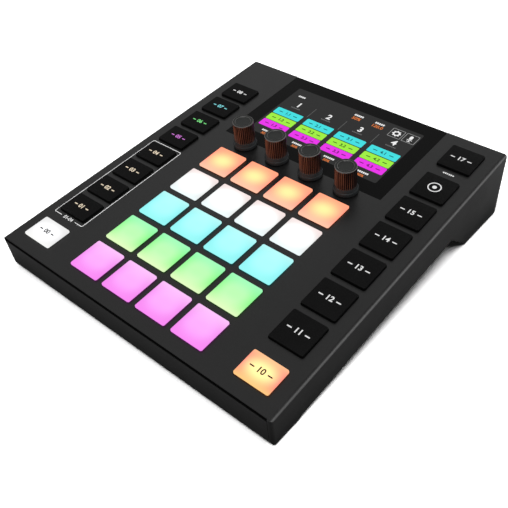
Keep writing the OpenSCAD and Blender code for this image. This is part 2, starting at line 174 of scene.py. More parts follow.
def floorFinish():
    finish = bpy.data.materials.new("studioFloor")
    finish.use_nodes = True
    tree = finish.node_tree
    join = tree.links.new
    spot = tree.nodes.new("ShaderNodeTexCoord").outputs["Object"]
    fromPart = distanceFrom(tree, spot, cadLow, cadHigh)
    # The floor as the part sees it: a painted shade, darkest at the part and lighter away from it
    stops = studio["floorShade"]
    nearest, furthest = stops[0][0], stops[-1][0]
    shade = tree.nodes.new("ShaderNodeValToRGB")
    marks = shade.color_ramp.elements
    while len(marks) < len(stops):
        marks.new(1)
    for mark, (distance, tone) in zip(marks, stops):
        mark.position = (distance - nearest) / (furthest - nearest)
        mark.color = (tone, tone, tone, 1)
    join(mapOver(tree, fromPart, (nearest, 0), (furthest, 1)), shade.inputs["Fac"])
    seenByPart = tree.nodes.new("ShaderNodeBsdfDiffuse")
    join(shade.outputs["Color"], seenByPart.inputs["Color"])
    # A painted contact shade: the floor as the camera sees it is dimmed along the foot of the front wall
    foot = studio["frontFoot"]
    line = Vector((cadHigh.x - foot["ends"], cadLow.y + foot["behind"], 0))
    fromFoot = distanceFrom(tree, spot, line * Vector((-1, 1, 1)), line)
    dimmed = tree.nodes.new("ShaderNodeMath")
    dimmed.operation = "MULTIPLY"
    join(mapOver(tree, fromPart, *studio["floorTone"]), dimmed.inputs[0])
    join(mapOver(tree, fromFoot, (0, foot["tone"]), (foot["reach"], 1)), dimmed.inputs[1])
    seenByCamera = tree.nodes.new("ShaderNodeBsdfDiffuse")
    join(dimmed.outputs["Value"], seenByCamera.inputs["Color"])
    path = tree.nodes.new("ShaderNodeLightPath")
    mix = tree.nodes.new("ShaderNodeMixShader")
    join(path.outputs["Is Camera Ray"], mix.inputs["Fac"])
    join(seenByPart.outputs["BSDF"], mix.inputs[1])
    join(seenByCamera.outputs["BSDF"], mix.inputs[2])
    join(mix.outputs["Shader"], tree.nodes["Material Output"].inputs["Surface"])
    return finish


def layFloor():
    bm = bmesh.new()
    bmesh.ops.create_grid(bm, x_segments=1, y_segments=1, size=studio["floorSide"] / 2)
    mesh = bpy.data.meshes.new("studioFloor")
    bm.to_mesh(mesh)
    bm.free()
    mesh.materials.append(floorFinish())
    floor = bpy.data.objects.new("studioFloor", mesh)
    scene.collection.objects.link(floor)
    unlit = bpy.data.collections.new("unlitFloor")
    unlit.objects.link(floor)
    for name in studio["lamps"]:
        if name not in studio["lightFloor"]:
            bpy.data.objects[name].light_linking.receiver_collection = unlit
    unlit.collection_objects[0].light_linking.link_state = "EXCLUDE"


def setStudio():
    scene.view_settings.view_transform = "Standard"
    air = bpy.data.worlds.new("studioAir")
    air.use_nodes = True
    tree = air.node_tree
    glow = tree.nodes["Background"]
    seen = tree.nodes.new("ShaderNodeBackground")  # what the camera sees past the floor
    for light in (glow, seen):
        light.inputs["Color"].default_value = (1, 1, 1, 1)
    way = tree.nodes.new("ShaderNodeTexCoord")
    split = tree.nodes.new("ShaderNodeSeparateXYZ")
    horizon, zenith = studio["airTone"]
    rise = mapOver(tree, split.outputs["Z"], (0, horizon), (studio["airRise"], zenith))
    path = tree.nodes.new("ShaderNodeLightPath")
    mix = tree.nodes.new("ShaderNodeMixShader")
    join = tree.links.new
    join(way.outputs["Generated"], split.inputs["Vector"])
    join(rise, glow.inputs["Strength"])
    join(path.outputs["Is Camera Ray"], mix.inputs["Fac"])
    join(glow.outputs["Background"], mix.inputs[1])
    join(seen.outputs["Background"], mix.inputs[2])
    join(mix.outputs["Shader"], tree.nodes["World Output"].inputs["Surface"])
    scene.world = air
    for name, (place, side, watts) in studio["lamps"].items():
        addLamp(name, place, side, watts)
    layFloor()


setCamera()
setStudio()
print("camera and studio set")


# Shader groups shared by the finishes
def tint(red, green, blue):  # a screen colour, 0 to 255, as a linear one
    def linear(c):
        c = c / 255
        return c / 12.92 if c < 0.04045 else ((c + 0.055) / 1.055) ** 2.4

    return (linear(red), linear(green), linear(blue), 1)


def newGroup(name, inputs, outputs):
    group = bpy.data.node_groups.new(name, "ShaderNodeTree")
    for label, kind in inputs:
        group.interface.new_socket(label, in_out="INPUT", socket_type="NodeSocket" + kind)
    for label, kind in outputs:
        group.interface.new_socket(label, in_out="OUTPUT", socket_type="NodeSocket" + kind)
    return group, group.nodes.new("NodeGroupInput"), group.nodes.new("NodeGroupOutput")


grainShape = {"fineDetail": 3, "cloudDetail": 5, "cloudRough": 0.6, "cloudSpread": (0.3, 0.7)}


def makeGrain():  # fine bumps, and a slow cloudiness that shifts tone and gloss
    group, fed, out = newGroup(
        "surfaceGrain",
        [("Place", "Vector"), ("Grain", "Float"), ("Cloud", "Float")],
        [("Height", "Float"), ("Tone", "Float")],
    )
    fine = group.nodes.new("ShaderNodeTexNoise")
    fine.inputs["Detail"].default_value = grainShape["fineDetail"]
    slow = group.nodes.new("ShaderNodeTexNoise")
    slow.inputs["Detail"].default_value = grainShape["cloudDetail"]
    slow.inputs["Roughness"].default_value = grainShape["cloudRough"]
    for noise, rate in ((fine, "Grain"), (slow, "Cloud")):
        group.links.new(fed.outputs["Place"], noise.inputs["Vector"])
        group.links.new(fed.outputs[rate], noise.inputs["Scale"])
    low, high = grainShape["cloudSpread"]
    tone = mapOver(group, slow.outputs["Fac"], (low, 0), (high, 1))
    group.links.new(fine.outputs["Fac"], out.inputs["Height"])
    group.links.new(tone, out.inputs["Tone"])
    return group


glowReach = 0.7  # where the rim's, the front's and the back's colours are full, in widths of a cap


def makeGlow():  # a backlit cap: brightest over its lamp, with other colours at its rim, front and back
    colours = ("Middle", "Rim", "Front", "Back")
    group, fed, out = newGroup(
        "capGlow",
        [("Face", "Vector"), ("Core", "Float")] + [(c, "Color") for c in colours],
        [("Color", "Color")],
    )
    centred = group.nodes.new("ShaderNodeVectorMath")
    centred.operation = "SUBTRACT"
    centred.inputs[1].default_value = (0.5, 0.5, 0)
    reach = group.nodes.new("ShaderNodeVectorMath")
    reach.operation = "LENGTH"
    split = group.nodes.new("ShaderNodeSeparateXYZ")
    join = group.links.new
    join(fed.outputs["Face"], centred.inputs[0])
    join(centred.outputs["Vector"], reach.inputs[0])
    join(centred.outputs["Vector"], split.inputs["Vector"])
    mixed = fed.outputs["Middle"]
    for colour, spread, start, end in (
        ("Rim", reach.outputs["Value"], fed.outputs["Core"], glowReach),
        ("Front", split.outputs["Y"], None, -glowReach),
        ("Back", split.outputs["Y"], None, glowReach),
    ):
        fade = group.nodes.new("ShaderNodeMapRange")
        fade.interpolation_type = "SMOOTHSTEP"
        if start is not None:
            join(start, fade.inputs["From Min"])
        fade.inputs["From Max"].default_value = end
        blend = group.nodes.new("ShaderNodeMix")
        blend.data_type = "RGBA"
        join(spread, fade.inputs["Value"])
        join(fade.outputs["Result"], blend.inputs["Factor"])
        join(mixed, blend.inputs["A"])
        join(fed.outputs[colour], blend.inputs["B"])
        mixed = blend.outputs["Result"]
    join(mixed, out.inputs["Color"])
    return group


foldShape = {"sharpness": 4, "edges": (0.05, 0.27)}


def makeFold():  # a mask over the bends between the panel and the sides, where a highlight is painted into the coat's colour
    group, fed, out = newGroup("foldHighlightMask", [("Normal", "Vector")], [("Highlight", "Float")])
    split = group.nodes.new("ShaderNodeSeparateXYZ")
    sideways = group.nodes.new("ShaderNodeMath")
    sideways.operation = "POWER"
    sideways.inputs[1].default_value = foldShape["sharpness"]
    both = group.nodes.new("ShaderNodeMath")
    both.operation = "MULTIPLY"
    fade = group.nodes.new("ShaderNodeMapRange")
    fade.interpolation_type = "SMOOTHSTEP"
    fade.inputs["From Min"].default_value, fade.inputs["From Max"].default_value = foldShape["edges"]
    join = group.links.new
    join(fed.outputs["Normal"], split.inputs["Vector"])
    join(split.outputs["X"], sideways.inputs[0])
    join(sideways.outputs["Value"], both.inputs[0])
    join(split.outputs["Z"], both.inputs[1])
    join(both.outputs["Value"], fade.inputs["Value"])
    join(fade.outputs["Result"], out.inputs["Highlight"])
    return group


surfaceGrain = makeGrain()
capGlow = makeGlow()
foldHighlightMask = makeFold()


# Finishes
def newFinish(name):
    finish = bpy.data.materials.new(name)
    finish.use_nodes = True
    return finish, finish.node_tree, finish.node_tree.nodes["Principled BSDF"]


def grainTones(tree, look, dark, light):  # a grain, and a colour that drifts with its cloudiness
    spot = tree.nodes.new("ShaderNodeTexCoord")
    grain = tree.nodes.new("ShaderNodeGroup")
    grain.node_tree = surfaceGrain
    grain.inputs["Grain"].default_value = look["grain"]
    grain.inputs["Cloud"].default_value = look["cloud"]
    tones = tree.nodes.new("ShaderNodeMix")
    tones.data_type = "RGBA"
    tones.inputs["A"].default_value = tint(*dark)
    tones.inputs["B"].default_value = tint(*light)
    tree.links.new(spot.outputs["Object"], grain.inputs["Place"])
    tree.links.new(grain.outputs["Tone"], tones.inputs["Factor"])
    return spot, grain, tones.outputs["Result"]


def grainedFinish(name, look):
    finish, tree, shader = newFinish(name)
    spot, grain, colour = grainTones(tree, look, look["dark"], look["light"])
    satin, dull = look["rough"]
    bump = tree.nodes.new("ShaderNodeBump")
    bump.inputs["Strength"].default_value = look["bump"]
    bump.inputs["Distance"].default_value = look["depth"] * mm
    join = tree.links.new
    # A painted highlight: a lighter colour mixed in over the bends between the panel and the sides
    if "paintedFoldTone" in look:
        foldMask = tree.nodes.new("ShaderNodeGroup")
        foldMask.node_tree = foldHighlightMask
        highlighted = tree.nodes.new("ShaderNodeMix")
        highlighted.data_type = "RGBA"
        highlighted.inputs["B"].default_value = tint(*look["paintedFoldTone"])
        join(spot.outputs["Normal"], foldMask.inputs["Normal"])
        join(foldMask.outputs["Highlight"], highlighted.inputs["Factor"])
        join(colour, highlighted.inputs["A"])
        colour = highlighted.outputs["Result"]
    join(colour, shader.inputs["Base Color"])
    join(mapOver(tree, grain.outputs["Tone"], (0, satin), (1, dull)), shader.inputs["Roughness"])
    join(grain.outputs["Height"], bump.inputs["Height"])
    join(bump.outputs["Normal"], shader.inputs["Normal"])
    shader.inputs["Metallic"].default_value = look.get("metal", 0)
    shader.inputs["Specular IOR Level"].default_value = look.get("shine", 0.5)
    return finish


capLook = {"base": (14, 14, 14), "strength": 1.0, "rough": 0.5, "shine": 0.1}


def litFinish(name, look):
    finish, tree, shader = newFinish(name)
    face = tree.nodes.new("ShaderNodeUVMap")
    face.uv_map = "capFace"
    glow = tree.nodes.new("ShaderNodeGroup")
    glow.node_tree = capGlow
    for part in ("Middle", "Rim", "Front", "Back"):
        glow.inputs[part].default_value = tint(*look[part.lower()])
    glow.inputs["Core"].default_value = look["core"]
    join = tree.links.new
    join(face.outputs["UV"], glow.inputs["Face"])
    join(glow.outputs["Color"], shader.inputs["Emission Color"])
    shader.inputs["Base Color"].default_value = tint(*capLook["base"])
    shader.inputs["Emission Strength"].default_value = capLook["strength"]
    shader.inputs["Roughness"].default_value = capLook["rough"]
    shader.inputs["Specular IOR Level"].default_value = capLook["shine"]
    return finish


inkLook = {"grain": 6000, "cloud": 900, "dimmest": 0.97, "base": (6, 6, 6), "rough": 0.5, "shine": 0.1}


def inkFinish(name, look):
    finish, tree, shader = newFinish(name)
    dim = [inkLook["dimmest"] * c for c in look["colour"]]
    colour = grainTones(tree, inkLook, dim, look["colour"])[-1]
    lit = look.get("lit")
    tree.links.new(colour, shader.inputs["Emission Color" if lit else "Base Color"])
    if lit:
        shader.inputs["Base Color"].default_value = tint(*inkLook["base"])
        shader.inputs["Emission Strength"].default_value = lit
    shader.inputs["Roughness"].default_value = look.get("rough", inkLook["rough"])
    shader.inputs["Specular IOR Level"].default_value = look.get("shine", inkLook["shine"])
    return finish


# Screen colours 0 to 255; grain and cloud are repeats per metre, depth in millimetres
grainedLooks = {
    "powderCoat": {
        "dark": (14, 14, 14), "light": (16, 16, 16), "rough": (0.31, 0.37), "shine": 0.3,
        # The last colour is a highlight painted along the bends between the panel and the sides
        "grain": 2600, "cloud": 55, "bump": 0.2, "depth": 0.04, "paintedFoldTone": (76, 76, 76),
    },
    "blackRubber": {
        "dark": (2, 2, 2), "light": (4, 4, 4), "rough": (0.62, 0.78), "shine": 0.02,
        "grain": 3200, "cloud": 120, "bump": 0.35, "depth": 0.04,
    },
    "keyBlack": {
        "dark": (4, 4, 4), "light": (6, 6, 6), "rough": (0.5, 0.6), "shine": 0.065,
        "grain": 4200, "cloud": 140, "bump": 0.2, "depth": 0.03,
    },
    # The ribs' and grooves' red-brown tint is painted in, standing for the orange pads' glow reflected on the ribs
    "knobRubber": {
        "dark": (24, 8, 6), "light": (28, 10, 7), "rough": (0.27, 0.31), "shine": 0.8,
        "grain": 5200, "cloud": 200, "bump": 0.03, "depth": 0.02,
    },
    "knobGroove": {
        "dark": (24, 8, 5), "light": (28, 9, 6), "rough": (0.45, 0.55), "shine": 0.15,
        "grain": 5200, "cloud": 200, "bump": 0.1, "depth": 0.02,
    },
    "knobSkirt": {
        "dark": (32, 34, 35), "light": (38, 40, 41), "rough": (0.32, 0.4), "shine": 0.12,
        "grain": 3400, "cloud": 180, "bump": 0.15, "depth": 0.03,
    },
    "knobCap": {
        "dark": (28, 29, 28), "light": (32, 33, 32), "rough": (0.36, 0.46), "shine": 0.15,
        "grain": 3000, "cloud": 160, "bump": 0.25, "depth": 0.03,
    },
    # A lighter grey, a highlight painted on the knobs' rim and dish edges
    "knobEdgeHighlight": {
        "dark": (70, 69, 68), "light": (80, 79, 78), "rough": (0.3, 0.36), "shine": 0.5,
        "grain": 3000, "cloud": 160, "bump": 0.05, "depth": 0.02,
    },
    "displayGlass": {
        "dark": (7, 7, 7), "light": (8, 8, 8), "rough": (0.14, 0.2), "shine": 0.038,
        "grain": 300, "cloud": 40, "bump": 0.02, "depth": 0.01,
    },
    "moduleMetal": {
        "dark": (120, 123, 126), "light": (150, 153, 156), "rough": (0.32, 0.46), "metal": 1,
        "grain": 1800, "cloud": 70, "bump": 0.2, "depth": 0.02,
    },
    "circuitBoard": {
        "dark": (22, 62, 36), "light": (32, 80, 48), "rough": (0.4, 0.5), "shine": 0.4,
        "grain": 1500, "cloud": 260, "bump": 0.3, "depth": 0.03,
    },
    "brass": {
        "dark": (176, 140, 70), "light": (198, 164, 92), "rough": (0.25, 0.36), "metal": 1,
        "grain": 1600, "cloud": 90, "bump": 0.15, "depth": 0.02,
    },
    "switchPlastic": {
        "dark": (30, 32, 36), "light": (38, 40, 45), "rough": (0.45, 0.55), "shine": 0.4,
        "grain": 2600, "cloud": 120, "bump": 0.2, "depth": 0.03,
    },
    "socketPlastic": {
        "dark": (24, 25, 27), "light": (31, 32, 34), "rough": (0.42, 0.54), "shine": 0.4,
        "grain": 2400, "cloud": 110, "bump": 0.25, "depth": 0.03,
    },
    "screwSteel": {
        "dark": (122, 124, 126), "light": (156, 158, 160), "rough": (0.28, 0.4), "metal": 1,
        "grain": 2200, "cloud": 200, "bump": 0.15, "depth": 0.02,
    },
    "blackSteel": {
        "dark": (58, 58, 60), "light": (76, 76, 78), "rough": (0.34, 0.46), "metal": 1,
        "grain": 2200, "cloud": 300, "bump": 0.15, "depth": 0.02,
    },
}
litLooks = {  # over 255 is brighter than the picture can show; core is where the fade to the rim begins
    "padPink": {
        "middle": (257, 174, 259), "rim": (242, 132, 235),
        "front": (253, 140, 248), "back": (255, 207, 255), "core": 0.2,
    },
    "padGreen": {
        "middle": (191, 257, 182), "rim": (116, 248, 122),
        "front": (243, 253, 205), "back": (167, 253, 199), "core": 0.2,
    },
    "padCyan": {
        "middle": (175, 261, 261), "rim": (131, 238, 241),
        "front": (156, 253, 250), "back": (194, 254, 251), "core": 0.2,
    },
    "padWhite": {
        "middle": (284, 302, 302), "rim": (221, 210, 209),
        "front": (244, 261, 263), "back": (256, 236, 233), "core": 0.2,
    },
    "padOrange": {
        "middle": (430, 248, 167), "rim": (262, 142, 131),
        "front": (262, 208, 175), "back": (272, 176, 131), "core": 0.03,
    },
    "keyWhite": {
        "middle": (271, 272, 274), "rim": (223, 222, 223),
        "front": (255, 255, 253), "back": (241, 241, 240), "core": 0.2,
    },
    "keyOrange": {
        "middle": (300, 262, 176), "rim": (270, 74, 116),
        "front": (256, 220, 133), "back": (256, 210, 149), "core": 0.13,
    },
}
inkLooks = {
    "inkWhite": {"colour": (205, 205, 205)},
    "markWhite": {"colour": (244, 244, 244), "lit": 0.9},
    "markWarm": {"colour": (250, 232, 204), "lit": 0.9},
    "markViolet": {"colour": (222, 128, 228), "lit": 0.9},
    "markGreen": {"colour": (130, 240, 140), "lit": 0.9},
    "markCyan": {"colour": (140, 238, 244), "lit": 0.9},
    "markDark": {"colour": (20, 18, 17)},
    "sidePink": {"colour": (70, 25, 68), "lit": 1.0},
    "sideGreen": {"colour": (28, 62, 26), "lit": 1.0},
    "sideCyan": {"colour": (18, 58, 58), "lit": 1.0},
    "sideWhite": {"colour": (52, 52, 51), "lit": 1.0},
    "sideOrange": {"colour": (60, 30, 20), "lit": 1.0},
    "screenDark": {"colour": (46, 46, 46), "lit": 1.0, "rough": 0.2, "shine": 0.03},
    "screenLine": {"colour": (104, 104, 104), "lit": 1.0},
    "screenWhite": {"colour": (246, 246, 246), "lit": 1.0},
    "screenOrange": {"colour": (226, 122, 56), "lit": 1.0},
    "screenCyan": {"colour": (64, 226, 228), "lit": 1.0},
    "screenLime": {"colour": (161, 242, 64), "lit": 1.0},
    "screenMagenta": {"colour": (238, 50, 238), "lit": 1.0},
    "screenGrey": {"colour": (158, 158, 158), "lit": 1.0},
    "textTeal": {"colour": (10, 84, 92), "lit": 1.0},
    "textGreen": {"colour": (44, 84, 14), "lit": 1.0},
    "textPurple": {"colour": (104, 12, 104), "lit": 1.0},
}
finishes = {name: grainedFinish(name, look) for name, look in grainedLooks.items()}
finishes.update({name: litFinish(name, look) for name, look in litLooks.items()})
finishes.update({name: inkFinish(name, look) for name, look in inkLooks.items()})

nodeFinishes = {
    "top_cover": "powderCoat",
    "base_tray": "powderCoat",
    # The front strip is coloured near black and fills the dark line between the panel and the front wall
    "front_strip": "blackRubber",
    "rubber_feet": "blackRubber",
    "display_glass": "displayGlass",
    "display_module": "moduleMetal",
    "main_board": "circuitBoard",
    "board_standoffs": "brass",
    "key_switches": "switchPlastic",
    "encoder_bodies": "moduleMetal",
    "dmx_shells": "socketPlastic",
    "dmx_inserts": "switchPlastic",
    "usb_socket": "screwSteel",
    "power_socket": "socketPlastic",
    "case_screws": "screwSteel",
}
for number in range(1, 5):
    nodeFinishes[f"encoder_rotor_{number}"] = "brass"
for node, finish in nodeFinishes.items():
    for part in nodes[node].material_slots:
        part.material = finishes[finish]
print("finishes:", len(finishes))


# Shapes, drawn in millimetres on the panel's axes
tolerance = {"upright": 1e-6, "cut": 1e-5, "weld": 1e-4, "level": 1e-3}
sharpAngle = 32  # degrees; a flatter edge is shaded smooth
frameSteps = 4  # along the corner of a printed outline


def block(bm, wide, deep, low, high, x=0, y=0):
    made = bmesh.ops.create_cube(bm, size=1)["verts"]
    bmesh.ops.scale(bm, vec=(wide, deep, high - low), verts=made)
    bmesh.ops.translate(bm, vec=(x, y, (low + high) / 2), verts=made)
    return made


def roundEdges(bm, edges, radius, steps):
    return bmesh.ops.bevel(
        bm, geom=edges, offset=radius, segments=steps, profile=0.5, affect="EDGES", material=-1,
        clamp_overlap=True,
    )


def edgesOf(verts):
    return list(dict.fromkeys(e for v in verts for e in v.link_edges))


def isUpright(edge):
    a, b = (v.co for v in edge.verts)
    return abs(a.x - b.x) + abs(a.y - b.y) < tolerance["upright"]


def uprightsOf(verts):
    return [e for e in edgesOf(verts) if isUpright(e)]


letterShape = {"figureHeight": 0.7, "curveSteps": 4}  # the built-in face's figures are 0.7 of its size


def addWords(bm, words, height, x, y, level, thick, bold=0.0):
    letters = bpy.data.curves.new("words", "FONT")
    letters.body = words
    letters.size = height / letterShape["figureHeight"]
    letters.align_x = "CENTER"
    letters.align_y = "CENTER"
    letters.resolution_u = letterShape["curveSteps"]
    letters.extrude = thick / 2
    letters.offset = bold
    holder = bpy.data.objects.new("words", letters)
    scene.collection.objects.link(holder)
    view = bpy.context.evaluated_depsgraph_get()
    shape = bpy.data.meshes.new_from_object(holder.evaluated_get(view))
    shape.transform(Matrix.Translation((x, y, level + thick / 2)))
    bm.from_mesh(shape)
    bpy.data.objects.remove(holder)
    bpy.data.curves.remove(letters)
    bpy.data.meshes.remove(shape)
    bmesh.ops.remove_doubles(bm, verts=bm.verts, dist=tolerance["weld"])


def addDashes(bm, count, wide, tall, gap, x, y, level, thick):  # a row of short bars in place of a word
    for place in range(count):
        block(bm, wide, tall, level, level + thick, x + (place - (count - 1) / 2) * (wide + gap), y)


def addLineFrame(bm, wide, deep, corner, line, x, y, level, thick):  # the outline of a rounded rectangle
    plate = bmesh.ops.create_grid(bm, x_segments=1, y_segments=1, size=0.5)["verts"]
    bmesh.ops.scale(bm, vec=(wide, deep, 1), verts=plate)
    bmesh.ops.translate(bm, vec=(x, y, level), verts=plate)
    rounded = bmesh.ops.bevel(
        bm, geom=plate, offset=corner, segments=frameSteps, profile=0.5, affect="VERTICES", material=-1
    )
    face = next(f for f in bm.faces if set(f.verts) >= set(rounded["verts"]))
    ring = bmesh.ops.inset_region(
        bm, faces=[face], thickness=line, use_boundary=True, use_even_offset=True
    )["faces"]
    bmesh.ops.delete(bm, geom=[face], context="FACES_ONLY")
    thicken(bm, ring, thick)


def thicken(bm, faces, thick):
    grown = bmesh.ops.extrude_face_region(bm, geom=faces, use_keep_orig=True)["geom"]
    lifted = [g for g in grown if isinstance(g, bmesh.types.BMVert)]
    bmesh.ops.translate(bm, vec=(0, 0, thick), verts=lifted)


def hollowOut(bm, face, line, thick):  # keeps a line along a face's rim and gives it its thickness
    ring = bmesh.ops.inset_region(bm, faces=[face], thickness=line, use_boundary=True)["faces"]
    bmesh.ops.delete(bm, geom=[face], context="FACES_ONLY")
    thicken(bm, ring, thick)


def makePiece(name, bm, finish, body, stands=None):
    bmesh.ops.recalc_face_normals(bm, faces=bm.faces)
    mesh = bpy.data.meshes.new(name)
    bm.to_mesh(mesh)
    bm.free()
    mesh.transform(panelPlace)
    mesh.shade_smooth()
    mesh.set_sharp_from_angle(angle=math.radians(sharpAngle))
    for part in finish if isinstance(finish, tuple) else (finish,):
        mesh.materials.append(finishes[part])
    piece = bpy.data.objects.new(name, mesh)
    scene.collection.objects.link(piece)
    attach(piece, body)
    if stands:
        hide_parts(stands)


# Pads and keys: a flanged hollow cap on a stem
keyShape = {
    "lip": 1.25,  # how far the flange reaches past the cap
    "lipTop": -1.8,
    "lipBase": -2.8,
    "corner": 1.05,
    "topEdge": 0.4,
    "litDepth": 1.3,  # below this a lit cap's sides are dim
    "wall": 1.4,
    "stem": 4.0,
    "stemRoot": 0.5,  # how far the stem reaches into the cap's roof
    "steps": {"corner": 6, "topEdge": 4, "stem": 24},
}


def makeKey(node, finish):
    low, high = panelBox(node)
    middle = (low + high) / 2
    wide, deep = high.x - low.x, high.y - low.y
    lip, top, steps = keyShape["lip"], high.z, keyShape["steps"]
    bm = bmesh.new()
    plate = block(bm, wide, deep, keyShape["lipBase"], keyShape["lipTop"])
    roundEdges(bm, uprightsOf(plate), keyShape["corner"] + lip, steps["corner"])
    upper = max(bm.faces, key=lambda f: f.calc_center_median().z)
    bmesh.ops.inset_region(bm, faces=[upper], thickness=lip, use_even_offset=True)
    cap = bmesh.ops.extrude_discrete_faces(bm, faces=[upper])["faces"][0]
    bmesh.ops.translate(bm, vec=(0, 0, top - keyShape["lipTop"]), verts=cap.verts)
    roundEdges(bm, cap.edges[:], keyShape["topEdge"], steps["topEdge"])
    under = min(bm.faces, key=lambda f: f.calc_center_median().z)
    bmesh.ops.inset_region(bm, faces=[under], thickness=lip + keyShape["wall"], use_even_offset=True)
    hollow = bmesh.ops.extrude_discrete_faces(bm, faces=[under])["faces"][0]
    roof = top - keyShape["wall"]
    bmesh.ops.translate(bm, vec=(0, 0, roof - keyShape["lipBase"]), verts=hollow.verts)
    stemRadius, stemTop = keyShape["stem"] / 2, roof + keyShape["stemRoot"]
    stem = bmesh.ops.create_cone(
        bm, cap_ends=True, segments=steps["stem"], depth=stemTop - low.z,
        radius1=stemRadius, radius2=stemRadius,
    )["verts"]
    bmesh.ops.translate(bm, vec=(0, 0, (stemTop + low.z) / 2), verts=stem)
    if isinstance(finish, tuple):
        dimTop = top - keyShape["litDepth"]
        bmesh.ops.bisect_plane(
            bm, geom=[*bm.verts, *bm.edges, *bm.faces], dist=tolerance["cut"],
            plane_co=(0, 0, dimTop), plane_no=(0, 0, 1),
        )
        for face in bm.faces:
            face.material_index = int(face.calc_center_median().z < dimTop)
    facing = bm.loops.layers.uv.new("capFace")
    for face in bm.faces:
        for loop in face.loops:
            spot = loop.vert.co
            loop[facing].uv = (spot.x / (wide - 2 * lip) + 0.5, spot.y / (deep - 2 * lip) + 0.5)
    bmesh.ops.translate(bm, vec=(middle.x, middle.y, 0), verts=bm.verts)
    makePiece("cap_" + node, bm, finish, node, stands=node)


# Legends: plain figures between short bars
legendShape = {
    "thick": 0.04,
    "bold": 0.12,
    "halfFigure": 0.44,  # of a figure's height
    "barGap": 1.2,
    "barThick": 0.8,
    "barRound": 0.2,
    "barSteps": 2,
}
legendSizes = {"left": (3.3, 2.6), "right": (3.8, 3.2)}  # the figures' height and the bars' length


def addLegend(bm, figure, height, barLength, x, y, level, thick):
    g = legendShape
    addWords(bm, figure, height, x, y, level, thick, g["bold"])
    reach = g["halfFigure"] * height * len(figure) + g["barGap"] + barLength / 2
    for side in (-1, 1):
        bar = block(bm, barLength, g["barThick"], level, level + thick, x + side * reach, y)
        roundEdges(bm, uprightsOf(bar), g["barRound"], g["barSteps"])


def makeLegend(node, figure, column, finish):
    low, high = panelBox(node)
    middle = (low + high) / 2
    bm = bmesh.new()
    addLegend(bm, figure, *legendSizes[column], middle.x, middle.y, high.z, legendShape["thick"])
    makePiece("legend_" + node, bm, finish, node)


ringShape = {"outer": 4.6, "line": 0.75, "dot": 1.5, "outerSides": 48, "dotSides": 32}


def makeRing(node, finish):  # a ring round a dot
    low, high = panelBox(node)
    middle = (low + high) / 2
    thick = legendShape["thick"]
    r = ringShape
    bm = bmesh.new()
    disc = bmesh.ops.create_circle(bm, cap_ends=True, segments=r["outerSides"], radius=r["outer"])["verts"]
    hollowOut(bm, disc[0].link_faces[0], r["line"], thick)
    dot = bmesh.ops.create_circle(bm, cap_ends=True, segments=r["dotSides"], radius=r["dot"])["verts"]
    thicken(bm, dot[0].link_faces[:], thick)
    bmesh.ops.translate(bm, vec=(middle.x, middle.y, high.z), verts=bm.verts)
    makePiece("legend_" + node, bm, finish, node)


padRows = ("Pink", "Green", "Cyan", "White", "Orange")  # front to rear
for row, colour in enumerate(padRows, 1):
    for column in range(1, 5):
        makeKey(f"pad_r{row}c{column}", ("pad" + colour, "side" + colour))
leftMarks = ("markWarm",) * 4 + ("markViolet", "markGreen", "markCyan", "markWhite")
for number, mark in enumerate(leftMarks, 1):
    node = f"left_key_{number}"
    makeKey(node, "keyBlack")
    makeLegend(node, f"0{number}", "left", mark)
for number in range(1, 7):
    node = f"right_key_{number}"
    makeKey(node, "keyBlack")
    if number < 6:
        makeLegend(node, f"1{number}", "right", "markWhite")
makeRing("right_key_6", "markWhite")
makeKey("tap_key", "keyBlack")
makeLegend("tap_key", "17", "right", "markWhite")
makeKey("left_lit_key", ("keyWhite", "sideWhite"))
makeLegend("left_lit_key", "00", "left", "markDark")
makeKey("right_lit_key", ("keyOrange", "sideOrange"))
makeLegend("right_lit_key", "10", "right", "markDark")
print("pads and keys made")

# Knobs: a ribbed barrel over a flared skirt, on a stepped spindle
knobShape = {
    "ribs": 32,
    "ribProfile": (0, 0.06, 0.4, 1, 1, 1, 0.4, 0.06),  # shares of the groove's depth round one rib
    "ribDepth": 0.75,
    "ribRunOut": 0.35,
    "groove": (2, 6),  # its two sides in the rib's profile
    "spindleTip": 2.0,
    "tipTop": -3.6,
    "spindle": 3.0,
    "bore": 4.3,
    "boreTop": 4.5,
    "skirtBase": 0.9,
    "barrel": 7.4,
    # Steps out from a radius, and levels: the skirt's radius first, then the barrel's
    "skirtSteps": ((-0.3, 0.9), (0, 1.2), (0, 3.1), (-0.15, 3.45), (-0.5, 3.6)),
    "coneSteps": ((0.15, 5.6), (0, 5.9)),
    # Steps out from the barrel's radius, and up from the top: a rounded rim, then a dish
    "rimSteps": ((0, -0.4), (-0.12, -0.12), (-0.4, 0), (-1.85, 0)),
    "dishSteps": ((-2.05, -0.1), (-2.3, -0.4), (-2.5, -0.5), (-4.7, -0.55)),
    "rimHeight": 0.9,
    "edgeHeight": 0.4,
    "edgeInside": 5.9,
    "dishEdge": 0.1,
    "capRadius": 7.2,
}
knobFinishes = ("knobRubber", "knobGroove", "knobSkirt", "knobCap", "knobEdgeHighlight")


def ringOf(grown):
    verts = [g for g in grown if isinstance(g, bmesh.types.BMVert)]
    fresh = set(verts)
    return [e for e in edgesOf(verts) if fresh.issuperset(e.verts)], verts


def liftRing(bm, ring, factor, rise):  # extrudes a ring of edges, scaled about the axis and moved along it
    ring, verts = ringOf(bmesh.ops.extrude_edge_only(bm, edges=ring)["geom"])
    bmesh.ops.scale(bm, vec=(factor, factor, 1), verts=verts)
    bmesh.ops.translate(bm, vec=(0, 0, rise), verts=verts)
    return ring, verts


